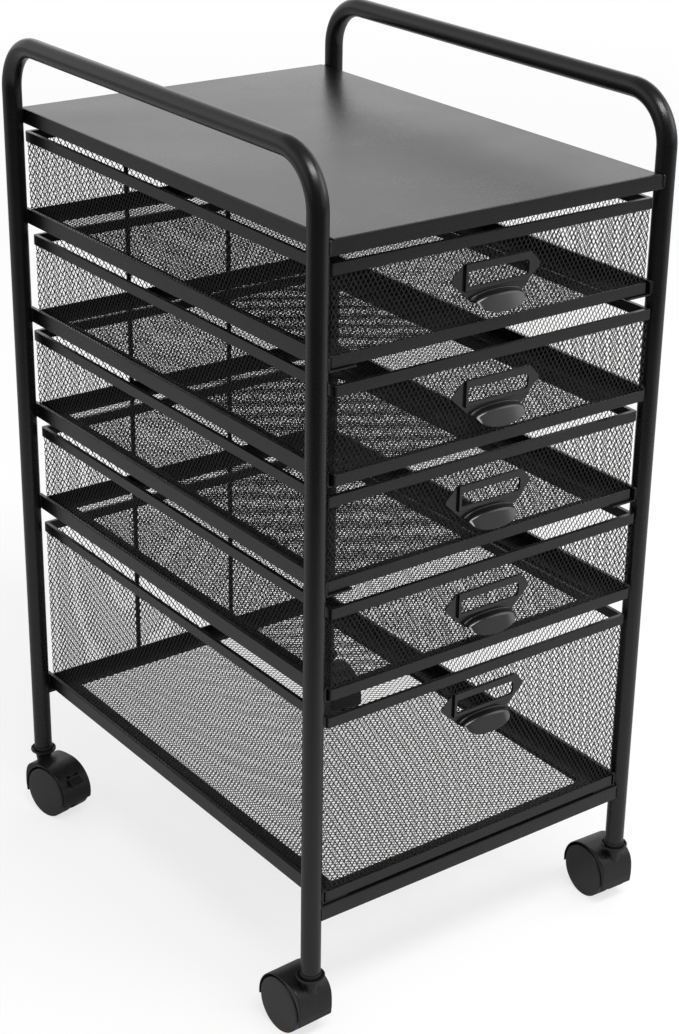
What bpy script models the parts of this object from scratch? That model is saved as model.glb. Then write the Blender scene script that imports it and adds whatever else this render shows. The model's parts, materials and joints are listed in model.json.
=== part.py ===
import math

import bmesh
import bpy
from mathutils import Matrix, Vector

# A wheeled file cart with five mesh drawers, in metres.
# The front faces -Y, +X is right seen from the front, and z = 0 is the floor.

# Clearances.
WELD_GAP = 0.0003
SEAT_GAP = 0.00025
SLIDE_GAP = 0.0004
TURN_GAP = 0.0003
POINT_MERGE = 0.00001

# Side frames, one bent tube each.
TUBE_D = 0.0150
TUBE_WALL = 0.0012
LEG_SPACING_X = 0.3030
LEG_SPACING_Y = 0.4000
HANDLE_RISE = 0.0530
BEND_R = 0.0370
BEND_STEPS = 8
TUBE_SIDES = 20

# Top plate, a folded pan whose front and rear skirts run on to the legs.
PLATE_SKIRT = 0.0115
PLATE_SHEET = 0.0012
PLATE_FOLD_R = 0.0012
FOLD_STEPS = 2
PLATE_SIDE_GAP = 0.0010
PLATE_REACH = 0.0052

# Bottom cross bars coped to the legs: a square tube in front, a flat strap at the rear.
BAR_LOW_Z = 0.1000
BAR_H = 0.0122
BAR_DEPTH = 0.0122
BAR_WALL = 0.0012
BAR_EDGE = 0.0010
STRAP_T = 0.0036
TAB_STOP = 0.0015
COPE_SIDES = 32

# Back stop rods.
ROD_D = 0.0040
ROD_SPACING = 0.0978
ROD_END = 0.0010
ROD_DROP = 0.0030
ROD_SIDES = 12

# Drawers, numbered from the top. The lowest one is deep.
DRAWERS = (1, 2, 3, 4, 5)
DRAWER_H = 0.0713
DRAWER_GAP = 0.0101
DEEP_H = 0.1522
DEEP_GAP = 0.0150
TOP_GAP = 0.0067
DRAWER_SIDE_GAP = 0.0025
DRAWER_FRONT_SET = 0.0021
DRAWER_CORNER_R = 0.0020
DRAWER_LEAST_R = 0.0004
CORNER_STEPS = 2
STRIP_T = 0.0010
RIM_H = 0.0080
BASE_H = 0.0085
BASE_FLANGE = 0.0185
MESH_T = 0.0008
GRID_EDGE = 0.0030
GRID_BAR = 0.0036
GRID_ROWS = 4
DEEP_GRID_ROWS = 6
GRID_ACROSS_X = 2
GRID_ACROSS_Y = 3
FLOOR_OPENINGS = 10
FLOOR_OPEN = 0.0130
DRAWER_PULLED = {1: 0.0030, 2: 0.0090, 3: 0.0026, 4: 0.0080, 5: 0.0055}

# Runners, C channels welded to the legs.
RUN_SHEET = 0.0012
RUN_FLANGE = 0.0227
RUN_OVERHANG = 0.0030
RUN_LIP_BACK = 0.0001

# Pulls: a label holder with a cup grip below it.
PULL_LIFT = 0.0054
DEEP_PULL_DROP = 0.0192
PULL_SIDE = {1: -0.0022, 2: -0.0030, 3: 0.0, 4: -0.0010, 5: 0.0008}
PULL_TIP_X = 0.0393
PULL_TIP_Z = 0.0012
PULL_TIP_T = 0.0006
PULL_BOX_X = 0.0306
PULL_BOX_Z = 0.0110
PULL_RAISE = 0.0024
PULL_PLATE = 0.0010
WINDOW_X = 0.0270
WINDOW_Z = 0.0054
SKIRT_LOW_X = 0.0238
SKIRT_LOW_Z = 0.0162
CUP_HALF = 0.0226
CUP_WALL = 0.0012
CUP_OUT = 0.0124
CUP_ARCH = 0.0039
CUP_DROP = 0.0086
CUP_FULL = 0.75
CUP_ACROSS = 18
CUP_DOWN = 7

# Casters: twin wheels under a hood, on a stem in a socket.
WHEEL_R = 0.0220
WHEEL_IN = 0.0020
WHEEL_OUT = 0.0145
WHEEL_EDGE = 0.0024
WHEEL_EDGE_STEPS = 3
WHEEL_SIDES = 36
AXLE_R = 0.0025
AXLE_HALF = 0.0096
AXLE_END_GAP = 0.0006
TRAIL = 0.0185
HOOD_GAP = 0.0009
HOOD_WALL = 0.0019
HOOD_LIP = 0.0007
HOOD_EDGE = 0.0012
HOOD_FRONT = 0.0072
HOOD_FULL = 2.6
HOOD_TUCK = 0.0008
HOOD_FRONT_LOW = 0.0068
HOOD_REAR_LOW = 0.0030
HOOD_STEPS = 12
BOSS_LOW = 0.0110
BOSS_STEP = 0.0004
NECK_STEP = 0.0010
NECK_H = 0.0040
COLLAR_STEP = 0.0032
COLLAR_FLOOR = 0.0012
COLLAR_CUP = 0.0013
COLLAR_EDGE = 0.0016
SHOULDER = 0.0014
COLLAR_WALL = 0.0010
SOCKET_WALL = 0.0008
SOCKET_DEPTH = 0.0315
STEM_SHORT = 0.0050
TURNED_SIDES = 24
CASTERS = {
    "front_left": (-1, -1, 2.6, False),
    "front_right": (1, -1, -2.6, False),
    "rear_left": (-1, 1, 191.5, True),
    "rear_right": (1, 1, 172.0, True),
}

# Lock lever on a rear caster.
LEVER_AT = 38.0
LEVER_LEAN = 65.0
LEVER_BARREL_R = 0.0016
LEVER_HALF = 0.0062
LEVER_LEN = 0.0080
LEVER_T = 0.0012
BARREL_STEPS = 8
LEVER_SIDE_GAP = 0.0005
NOTCH_HALF_ANGLE = 9.0

# Places worked out from the sizes above.
LEG_X = LEG_SPACING_X / 2
LEG_Y = LEG_SPACING_Y / 2
TUBE_R = TUBE_D / 2
BORE_R = TUBE_R - TUBE_WALL
COPE_R = TUBE_R + WELD_GAP
LEG_INNER_X = LEG_X - TUBE_R
FACE_Y = LEG_Y + PLATE_REACH
BAR_TOP_Z = BAR_LOW_Z + BAR_H
STRAP_LOW_Z = BAR_TOP_Z - STRAP_T
ROD_R = ROD_D / 2
ROD_Y = FACE_Y + WELD_GAP + ROD_R
DRAWER_HALF_X = LEG_INNER_X - DRAWER_SIDE_GAP
CLOSED_BACK_Y = ROD_Y - ROD_R - SLIDE_GAP
DRAWER_HALF_Y = (CLOSED_BACK_Y + LEG_Y - DRAWER_FRONT_SET) / 2
MESH_IN = STRIP_T + SEAT_GAP
RIM_IN = MESH_IN + MESH_T + SEAT_GAP

HEIGHTS = {k: DRAWER_H for k in DRAWERS}
HEIGHTS[DRAWERS[-1]] = DEEP_H
BASES = {}
next_z = BAR_TOP_Z + WELD_GAP + RUN_SHEET + SLIDE_GAP
for k in reversed(DRAWERS):
    BASES[k] = next_z
    next_z += HEIGHTS[k] + (DEEP_GAP if k == DRAWERS[-1] else DRAWER_GAP)
PLATE_LOW_Z = BASES[1] + HEIGHTS[1] + TOP_GAP
PLATE_TOP_Z = PLATE_LOW_Z + PLATE_SKIRT
HANDLE_Z = PLATE_TOP_Z + HANDLE_RISE

POCKET_R = WHEEL_R + HOOD_GAP
HOOD_R = POCKET_R + HOOD_WALL
HOOD_HALF = WHEEL_OUT + HOOD_LIP
WEB_HALF = WHEEL_IN - TURN_GAP
COLLAR_Z = WHEEL_R + HOOD_R + NECK_H
COLLAR_FLOOR_Z = COLLAR_Z + COLLAR_FLOOR
TUBE_END_Z = COLLAR_FLOOR_Z + SHOULDER + WELD_GAP
SOCKET_TOP_Z = TUBE_END_Z + SOCKET_DEPTH
SOCKET_R = BORE_R - WELD_GAP
STEM_R = SOCKET_R - SOCKET_WALL - TURN_GAP
NECK_R = STEM_R + NECK_STEP
BOSS_R = NECK_R + BOSS_STEP
COLLAR_R = TUBE_R + COLLAR_STEP
LEVER_PIVOT_R = HOOD_R + LEVER_BARREL_R / 4


def material(name, colour, metallic, rough):
    mat = bpy.data.materials.new(name)
    mat.use_nodes = True
    bsdf = mat.node_tree.nodes["Principled BSDF"]
    bsdf.inputs["Base Color"].default_value = (*colour, 1.0)
    bsdf.inputs["Metallic"].default_value = metallic
    bsdf.inputs["Roughness"].default_value = rough
    return mat


def solid(name, verts, faces, mat):
    mesh = bpy.data.meshes.new(name)
    mesh.from_pydata([tuple(v) for v in verts], [], faces)
    mesh.materials.append(mat)
    ob = bpy.data.objects.new(name, mesh)
    bpy.context.scene.collection.objects.link(ob)
    return clean(ob)


def clean(ob):
    bm = bmesh.new()
    bm.from_mesh(ob.data)
    bmesh.ops.remove_doubles(bm, verts=bm.verts, dist=POINT_MERGE)
    bmesh.ops.dissolve_degenerate(bm, edges=bm.edges, dist=POINT_MERGE)
    bmesh.ops.recalc_face_normals(bm, faces=bm.faces)
    if bm.calc_volume(signed=True) < 0:
        bmesh.ops.reverse_faces(bm, faces=bm.faces)
    bm.to_mesh(ob.data)
    bm.free()
    return ob


# A skin over a row of rings. An endless row joins its last ring to its first, any other row is capped.
def loft(name, rings, mat, endless=False):
    count, n = len(rings), len(rings[0])
    verts = [p for ring in rings for p in ring]
    faces = []
    for k in range(count if endless else count - 1):
        a, b = k * n, (k + 1) % count * n
        faces += [(a + i, a + (i + 1) % n, b + (i + 1) % n, b + i) for i in range(n)]
    if not endless:
        faces += [tuple(range(n)), tuple(range(len(verts) - n, len(verts)))]
    return solid(name, verts, faces, mat)


def box(name, low, high, mat):
    rings = []
    for z in (low[2], high[2]):
        rings.append([(low[0], low[1], z), (high[0], low[1], z), (high[0], high[1], z), (low[0], high[1], z)])
    return loft(name, rings, mat)


# Several boxes in one object, each given by its low and high corner.
def boxes(name, corners, mat):
    sides = ((0, 2, 3, 1), (4, 5, 7, 6), (0, 1, 5, 4), (2, 6, 7, 3), (0, 4, 6, 2), (1, 3, 7, 5))
    verts, faces = [], []
    for low, high in corners:
        n = len(verts)
        verts += [(x, y, z) for z in (low[2], high[2]) for y in (low[1], high[1]) for x in (low[0], high[0])]
        faces += [tuple(n + i for i in side) for side in sides]
    return solid(name, verts, faces, mat)


# An outline of (y, z) points run along X, or of (x, z) points run along Y.
def prism(name, outline, axis, start, end, mat):
    if axis == "X":
        return loft(name, [[(t, y, z) for y, z in outline] for t in (start, end)], mat)
    return loft(name, [[(x, t, z) for x, z in outline] for t in (start, end)], mat)


# A profile of (radius, height) points turned about Z. A profile clear of the axis makes a ring.
def turned(name, profile, mat, sides):
    angles = [2 * math.pi * i / sides for i in range(sides)]
    rings = [[(r * math.cos(a), r * math.sin(a), z) for a in angles] for r, z in profile]
    return loft(name, rings, mat, endless=profile[0][0] > 0)


def rod(name, centre, r, low, high, mat, sides):
    ob = turned(name, [(0, low), (r, low), (r, high), (0, high)], mat, sides)
    ob.data.transform(Matrix.Translation((*centre, 0)))
    return ob


def smooth(ob, angle):
    ob.data.shade_smooth()
    ob.data.set_sharp_from_angle(angle=math.radians(angle))
    return ob


def combine(ob, tool, operation):
    modifier = ob.modifiers.new(operation, "BOOLEAN")
    modifier.operation = operation
    modifier.solver = "EXACT"
    modifier.object = tool
    bpy.context.view_layer.update()
    evaluated = ob.evaluated_get(bpy.context.evaluated_depsgraph_get())
    old, ob.data = ob.data, bpy.data.meshes.new_from_object(evaluated)
    ob.data.name = ob.name
    ob.modifiers.clear()
    bpy.data.meshes.remove(old)
    bpy.data.objects.remove(tool, do_unlink=True)
    return ob


def cut(ob, tool):
    return combine(ob, tool, "DIFFERENCE")


def join(ob, tool):
    return combine(ob, tool, "UNION")


def round_edges(ob, chosen, radius):
    bm = bmesh.new()
    bm.from_mesh(ob.data)
    edges = [e for e in bm.edges if chosen(e.verts[0].co, e.verts[1].co)]
    bmesh.ops.bevel(bm, geom=edges, offset=radius, segments=FOLD_STEPS, affect="EDGES", profile=0.5)
    bm.to_mesh(ob.data)
    bm.free()
    return ob


def empty(name, place, yaw=0.0):
    ob = bpy.data.objects.new(name, None)
    bpy.context.scene.collection.objects.link(ob)
    ob.location = place
    ob.rotation_euler.z = math.radians(yaw)
    return ob


# Hangs a piece on an empty, its origin at a point of the empty's frame. The mesh is drawn about that origin.
def hang(ob, parent, place=(0, 0, 0)):
    ob.parent = parent
    ob.location = place
    return ob


def side_frame(name, x):
    low = Vector((x, -LEG_Y, TUBE_END_Z))
    path = [(low, Vector((0, 0, 1)))]
    for sign in (-1, 1):
        centre = Vector((x, sign * (LEG_Y - BEND_R), HANDLE_Z - BEND_R))
        for i in range(BEND_STEPS + 1):
            t = math.pi / 2 * (i / BEND_STEPS if sign < 0 else 1 - i / BEND_STEPS)
            out = Vector((0, sign * math.cos(t), math.sin(t)))
            path.append((centre + BEND_R * out, Vector((0, math.sin(t), -sign * math.cos(t)))))
    path.append((Vector((x, LEG_Y, TUBE_END_Z)), Vector((0, 0, -1))))
    side = Vector((1, 0, 0))

    def ring(point, heading, r):
        up = side.cross(heading)
        angles = [2 * math.pi * i / TUBE_SIDES for i in range(TUBE_SIDES)]
        return [point + r * (math.cos(a) * side + math.sin(a) * up) for a in angles]

    outer = [ring(point, heading, TUBE_R) for point, heading in path]
    inner = [ring(point, heading, BORE_R) for point, heading in reversed(path)]
    return smooth(loft(name, outer + inner, COATED, endless=True), 32)


def cope(ob, low, high, signs):
    for sx in (-1, 1):
        for sy in signs:
            cut(ob, rod("cutter", (sx * LEG_X, sy * LEG_Y), COPE_R, low, high, COATED, COPE_SIDES))
    return clean(ob)


def top_plate(name):
    half_x = LEG_INNER_X - PLATE_SIDE_GAP
    ob = box(name, (-half_x, -FACE_Y, PLATE_LOW_Z), (half_x, FACE_Y, PLATE_TOP_Z), COATED)
    round_edges(ob, lambda a, b: min(a.z, b.z) > PLATE_TOP_Z - WELD_GAP, PLATE_FOLD_R)
    tab_x = LEG_X - TAB_STOP
    for s in (-1, 1):
        y0, y1 = sorted((s * FACE_Y, s * (FACE_Y - PLATE_SHEET)))
        join(ob, box("tab", (-tab_x, y0, PLATE_LOW_Z), (tab_x, y1, PLATE_TOP_Z - PLATE_FOLD_R), COATED))
    in_x, in_y = half_x - PLATE_SHEET, FACE_Y - PLATE_SHEET
    below = PLATE_LOW_Z - PLATE_SKIRT
    cut(ob, box("cutter", (-in_x, -in_y, below), (in_x, in_y, PLATE_TOP_Z - PLATE_SHEET), COATED))
    return cope(ob, below, PLATE_TOP_Z + PLATE_SKIRT, (-1, 1))


def bottom_bar(name, s, low_z, hollow):
    half_x = LEG_X - TAB_STOP
    y0, y1 = sorted((s * FACE_Y, s * (FACE_Y - BAR_DEPTH)))
    ob = box(name, (-half_x, y0, low_z), (half_x, y1, BAR_TOP_Z), COATED)
    round_edges(ob, lambda a, b: abs(a.x - b.x) > half_x, BAR_EDGE)
    if hollow:
        low, high = (-LEG_X, y0 + BAR_WALL, low_z + BAR_WALL), (LEG_X, y1 - BAR_WALL, BAR_TOP_Z - BAR_WALL)
        cut(ob, box("cutter", low, high, COATED))
    return cope(ob, low_z - BAR_H, BAR_TOP_Z + BAR_H, (s,))


# A rectangle with round corners, in the drawer's frame, set in from the drawer's outside.
def drawer_loop(inset, z):
    half_x, half_y = DRAWER_HALF_X - inset, DRAWER_HALF_Y - inset
    r = max(DRAWER_CORNER_R - inset, DRAWER_LEAST_R)
    points = []
    for quarter, (sx, sy) in enumerate(((1, 1), (-1, 1), (-1, -1), (1, -1))):
        for i in range(CORNER_STEPS + 1):
            t = math.pi / 2 * (quarter + i / CORNER_STEPS)
            points.append((sx * (half_x - r) + r * math.cos(t), sy * (half_y - r) + r * math.sin(t), z))
    return points


# The base strip is an L section, the rim an inverted U over the mesh.
def drawer_base(name):
    profile = [(0, 0), (0, BASE_H), (STRIP_T, BASE_H), (STRIP_T, STRIP_T)]
    profile += [(BASE_FLANGE, STRIP_T), (BASE_FLANGE, 0)]
    return loft(name, [drawer_loop(*p) for p in profile], COATED, endless=True)


def drawer_rim(name, top):
    low, under, inner = top - RIM_H, top - STRIP_T, RIM_IN + STRIP_T
    profile = [(0, low), (0, top), (inner, top), (inner, low)]
    profile += [(RIM_IN, low), (RIM_IN, under), (STRIP_T, under), (STRIP_T, low)]
    return loft(name, [drawer_loop(*p) for p in profile], COATED, endless=True)


def drawer_basket(name, top):
    floor, lip = STRIP_T + SEAT_GAP, top - STRIP_T - SEAT_GAP
    inner = MESH_IN + MESH_T
    profile = [(MESH_IN, floor), (MESH_IN, lip), (inner, lip), (inner, floor + MESH_T)]
    return open_grid(loft(name, [drawer_loop(*p) for p in profile], EXPANDED), top)


# Openings of one width between two ends, with a bar between each two.
def spaced(low, high, count, bar):
    pitch = (high - low + bar) / count
    return [(low + i * pitch, low + (i + 1) * pitch - bar) for i in range(count)]


# A plain grid stands for the expanded metal's diamonds. Each cutter passes two facing walls, or the floor.
def open_grid(ob, top):
    rows = DEEP_GRID_ROWS if top == DEEP_H else GRID_ROWS
    levels = spaced(BASE_H + GRID_EDGE, top - RIM_H - GRID_EDGE, rows, GRID_BAR)
    out_x, out_y = DRAWER_HALF_X, DRAWER_HALF_Y
    half_x, half_y = out_x - BASE_FLANGE - GRID_EDGE, out_y - BASE_FLANGE - GRID_EDGE
    across_x = spaced(-half_x, half_x, GRID_ACROSS_X, GRID_BAR)
    across_y = spaced(-half_y, half_y, GRID_ACROSS_Y, GRID_BAR)
    floor_bar = (2 * half_y - FLOOR_OPENINGS * FLOOR_OPEN) / (FLOOR_OPENINGS - 1)
    floor_y = spaced(-half_y, half_y, FLOOR_OPENINGS, floor_bar)
    ends = [((x0, -out_y, z0), (x1, out_y, z1)) for x0, x1 in across_x for z0, z1 in levels]
    sides = [((-out_x, y0, z0), (out_x, y1, z1)) for y0, y1 in across_y for z0, z1 in levels]
    floor = [((-half_x, y0, 0), (half_x, y1, BASE_H)) for y0, y1 in floor_y]
    for corners in (ends, sides, floor):
        cut(ob, boxes("cutter", corners, EXPANDED))
    return clean(ob)


# The pull's frame: x across, z up from the middle of its window, y = 0 on its back.
def pull_holder(name):
    points = []
    for sx in (-1, 1):
        for sz in (-1, 1):
            points += [(sx * PULL_BOX_X, y, sz * PULL_BOX_Z) for y in (0, -PULL_RAISE)]
            points += [(sx * PULL_TIP_X, y, sz * PULL_TIP_Z) for y in (0, -PULL_TIP_T)]
    bm = bmesh.new()
    bmesh.ops.convex_hull(bm, input=[bm.verts.new(p) for p in points])
    mesh = bpy.data.meshes.new(name)
    bm.to_mesh(mesh)
    bm.free()
    mesh.materials.append(COATED)
    ob = bpy.data.objects.new(name, mesh)
    bpy.context.scene.collection.objects.link(ob)
    return clean(ob)


# A shallow dome that starts on an arch of the holder's skirt and sweeps out and down to a lip.
def pull_cup(name):
    sections = []
    for i in range(CUP_ACROSS + 1):
        u = math.pi * i / CUP_ACROSS
        full = math.sin(u) ** CUP_FULL
        section = []
        for wall, order in ((0.0, 1), (CUP_WALL, -1)):
            x = -(CUP_HALF - wall) * math.cos(u)
            top = -SKIRT_LOW_Z + CUP_ARCH * math.sin(u) - wall
            low = -SKIRT_LOW_Z - CUP_DROP * full - wall * (1 - full)
            reach = (CUP_OUT - wall) * full
            arc = [math.pi / 2 * j / CUP_DOWN for j in range(CUP_DOWN + 1)][::order]
            back = -PULL_PLATE / 2
            section += [(x, back - reach * math.sin(t), low + (top - low) * math.cos(t)) for t in arc]
        sections.append(section)
    return loft(name, sections, COATED)


def drawer_pull(name):
    ob = pull_holder(name)
    skirt_x, skirt_z = PULL_BOX_X - PULL_TIP_T, PULL_BOX_Z - PULL_PLATE
    skirt = [(-skirt_x, -skirt_z), (skirt_x, -skirt_z)]
    skirt += [(SKIRT_LOW_X, -SKIRT_LOW_Z), (-SKIRT_LOW_X, -SKIRT_LOW_Z)]
    join(ob, prism("skirt", skirt, "Y", 0.0, -PULL_PLATE, COATED))
    join(ob, pull_cup("cup"))
    through = 2 * PULL_RAISE
    cut(ob, box("cutter", (-WINDOW_X, -through, -WINDOW_Z), (WINDOW_X, through, WINDOW_Z), COATED))
    return smooth(clean(ob), 30)


def runner(name, s, base):
    low, high = base - SLIDE_GAP - RUN_SHEET, base + BASE_H + SLIDE_GAP + RUN_SHEET
    outer = LEG_INNER_X - WELD_GAP
    inner, lip, flange = outer - RUN_SHEET, DRAWER_HALF_X - STRIP_T + RUN_LIP_BACK, outer - RUN_FLANGE
    outline = [(outer, low), (outer, high), (lip, high), (lip, high - RUN_SHEET), (inner, high - RUN_SHEET)]
    outline += [(inner, low + RUN_SHEET), (flange, low + RUN_SHEET), (flange, low)]
    half_y = LEG_Y + RUN_OVERHANG
    return prism(name, [(s * x, z) for x, z in outline], "Y", -half_y, half_y, COATED)


# Caster pieces in the caster's frame: stem on Z, floor at z = 0, wheels behind towards +Y, axle along X.
def hood_outline(shrink):
    rise, front = HOOD_R - shrink, TRAIL + HOOD_FRONT - shrink
    start = -math.asin(HOOD_REAR_LOW / rise)
    points = []
    for i in range(HOOD_STEPS + 1):
        t = start + (math.pi / 2 - start) * i / HOOD_STEPS
        points.append((TRAIL + rise * math.cos(t), WHEEL_R + rise * math.sin(t)))
    for i in range(1, HOOD_STEPS + 1):
        t = math.pi / 2 * i / HOOD_STEPS
        y, z = math.sin(t) ** (2 / HOOD_FULL), math.cos(t) ** (2 / HOOD_FULL)
        points.append((TRAIL - front * y, WHEEL_R + rise * z))
    points.append((TRAIL - front + HOOD_TUCK, WHEEL_R - HOOD_FRONT_LOW))
    return points


def across(ob):
    ob.data.transform(Matrix.Rotation(math.pi / 2, 4, "Y"))
    return ob


def at_hub(ob):
    ob.data.transform(Matrix.Translation((0, TRAIL, WHEEL_R)))
    return ob


def hood(name, notched):
    rings = []
    for x, shrink in ((-1, HOOD_EDGE), (-1, 0), (1, 0), (1, HOOD_EDGE)):
        at = x * (HOOD_HALF if shrink else HOOD_HALF - HOOD_EDGE)
        rings.append([(at, y, z) for y, z in hood_outline(shrink)])
    ob = loft(name, rings, PLASTIC)
    boss_low, boss_top = WHEEL_R + BOSS_LOW, WHEEL_R + HOOD_R - TURN_GAP
    neck_top, stem_top = COLLAR_Z - TURN_GAP, SOCKET_TOP_Z - STEM_SHORT
    post = [(0, boss_low), (BOSS_R, boss_low), (BOSS_R, boss_top - BOSS_STEP), (NECK_R, boss_top)]
    post += [(NECK_R, neck_top), (STEM_R, neck_top), (STEM_R, stem_top), (0, stem_top)]
    join(ob, turned("post", post, PLASTIC, TURNED_SIDES))
    for s in (-1, 1):
        near, far = sorted((s * WEB_HALF, s * 2 * HOOD_HALF))
        cut(ob, at_hub(across(rod("cutter", (0, 0), POCKET_R, near, far, PLASTIC, WHEEL_SIDES))))
    bore_r = AXLE_R + TURN_GAP
    cut(ob, at_hub(across(rod("cutter", (0, 0), bore_r, -HOOD_HALF, HOOD_HALF, PLASTIC, TURNED_SIDES))))
    if notched:
        outline = []
        for r, turn in ((POCKET_R, -1), (HOOD_R + HOOD_WALL, -1), (HOOD_R + HOOD_WALL, 1), (POCKET_R, 1)):
            t = math.radians(LEVER_AT + turn * NOTCH_HALF_ANGLE)
            outline.append((TRAIL + r * math.cos(t), WHEEL_R + r * math.sin(t)))
        half = LEVER_HALF + LEVER_SIDE_GAP
        cut(ob, prism("cutter", outline, "X", -half, half, PLASTIC))
    return smooth(clean(ob), 28)


def wheel(name, s):
    bore_r, bore_end = AXLE_R + TURN_GAP, AXLE_HALF + AXLE_END_GAP
    inner_edge = WHEEL_EDGE / 2
    profile = [(0, bore_end), (bore_r, bore_end), (bore_r, WHEEL_IN)]
    profile += [(WHEEL_R - inner_edge, WHEEL_IN), (WHEEL_R, WHEEL_IN + inner_edge)]
    for i in range(WHEEL_EDGE_STEPS + 1):
        t = math.pi / 2 * i / WHEEL_EDGE_STEPS
        profile.append((WHEEL_R - WHEEL_EDGE * (1 - math.cos(t)), WHEEL_OUT - WHEEL_EDGE * (1 - math.sin(t))))
    profile.append((0, WHEEL_OUT))
    ob = turned(name, profile, WHEEL_PLASTIC, WHEEL_SIDES)
    ob.data.transform(Matrix.Rotation(s * math.pi / 2, 4, "Y"))
    return smooth(ob, 32)


def axle(name):
    return smooth(across(rod(name, (0, 0), AXLE_R, -AXLE_HALF, AXLE_HALF, ZINC, TURNED_SIDES)), 40)


def socket(name):
    rim_z, seat_z = COLLAR_FLOOR_Z + COLLAR_CUP, TUBE_END_Z - WELD_GAP
    bore_r, lip_r = STEM_R + TURN_GAP, COLLAR_R - COLLAR_WALL
    profile = [(bore_r, COLLAR_Z), (COLLAR_R - COLLAR_EDGE, COLLAR_Z), (COLLAR_R, COLLAR_FLOOR_Z)]
    profile += [(COLLAR_R, rim_z), (lip_r, rim_z), (lip_r, COLLAR_FLOOR_Z), (TUBE_R, COLLAR_FLOOR_Z)]
    profile += [(TUBE_R, seat_z), (SOCKET_R, seat_z), (SOCKET_R, SOCKET_TOP_Z), (bore_r, SOCKET_TOP_Z)]
    return smooth(turned(name, profile, PLASTIC, TURNED_SIDES), 30)


# A tab on a round barrel, drawn about the barrel's axis.
def lever(name):
    lean = math.radians(LEVER_AT - LEVER_LEAN)
    along, above = (math.cos(lean), math.sin(lean)), (-math.sin(lean), math.cos(lean))
    outline = []
    for i in range(BARREL_STEPS + 1):
        t = lean + math.pi * (0.5 + i / BARREL_STEPS)
        outline.append((LEVER_BARREL_R * math.cos(t), LEVER_BARREL_R * math.sin(t)))
    for out, up in ((LEVER_LEN, -LEVER_T / 2), (LEVER_LEN, LEVER_T / 2), (LEVER_LEN - LEVER_T, LEVER_T)):
        outline.append((out * along[0] + up * above[0], out * along[1] + up * above[1]))
    return smooth(prism(name, outline, "X", -LEVER_HALF, LEVER_HALF, PLASTIC), 40)


COATED = material("black_powder_coat", (0.022, 0.022, 0.021), 0.0, 0.42)
EXPANDED = material("black_expanded_metal", (0.016, 0.016, 0.016), 0.0, 0.50)
PLASTIC = material("black_plastic", (0.018, 0.018, 0.019), 0.0, 0.38)
WHEEL_PLASTIC = material("black_wheel_plastic", (0.020, 0.020, 0.020), 0.0, 0.48)
ZINC = material("zinc_steel", (0.55, 0.56, 0.57), 1.0, 0.30)

for old in list(bpy.data.objects):
    bpy.data.objects.remove(old, do_unlink=True)

# The welded frame.
side_frame("left_side_frame", -LEG_X)
side_frame("right_side_frame", LEG_X)
top_plate("top_plate")
bottom_bar("front_bottom_bar", -1, BAR_LOW_Z, True)
bottom_bar("rear_bottom_bar", 1, STRAP_LOW_Z, False)
for label, s in (("left", -1), ("right", 1)):
    at = (s * ROD_SPACING / 2, ROD_Y)
    low, high = STRAP_LOW_Z + ROD_END, PLATE_TOP_Z - ROD_DROP
    smooth(rod(f"{label}_back_rod", at, ROD_R, low, high, COATED, ROD_SIDES), 40)
    for k in DRAWERS:
        runner(f"runner_{k}_{label}", s, BASES[k])

# The drawers, each pulled out a little.
for k in DRAWERS:
    height = HEIGHTS[k]
    drawer = empty(f"drawer_{k}", (0, CLOSED_BACK_Y - DRAWER_HALF_Y - DRAWER_PULLED[k], BASES[k]))
    hang(drawer_base(f"drawer_{k}_base"), drawer)
    hang(drawer_rim(f"drawer_{k}_rim", height), drawer)
    hang(drawer_basket(f"drawer_{k}_basket", height), drawer)
    pull_z = (height - RIM_H + BASE_H) / 2 + PULL_LIFT
    if k == DRAWERS[-1]:
        pull_z = height - RIM_H - DEEP_PULL_DROP
    hang(drawer_pull(f"drawer_{k}_pull"), drawer, (PULL_SIDE[k], MESH_IN - SEAT_GAP - DRAWER_HALF_Y, pull_z))

# The casters, each turned about its stem.
hub = (0, TRAIL, WHEEL_R)
pivot_angle = math.radians(LEVER_AT)
pivot = (0, TRAIL + LEVER_PIVOT_R * math.cos(pivot_angle), WHEEL_R + LEVER_PIVOT_R * math.sin(pivot_angle))
for label, (sx, sy, yaw, locks) in CASTERS.items():
    name = f"caster_{label}"
    leg = (sx * LEG_X, sy * LEG_Y, 0)
    hang(socket(f"{name}_socket"), empty(f"{name}_leg", leg))
    caster = empty(name, leg, yaw)
    hang(hood(f"{name}_hood", locks), caster)
    hang(axle(f"{name}_axle"), caster, hub)
    hang(wheel(f"{name}_wheel_a", 1), caster, hub)
    hang(wheel(f"{name}_wheel_b", -1), caster, hub)
    if locks:
        hang(lever(f"{name}_lever"), caster, pivot)
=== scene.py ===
import json
import math
import random

import bmesh
import bpy
from mathutils import Matrix, Vector, noise


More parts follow.
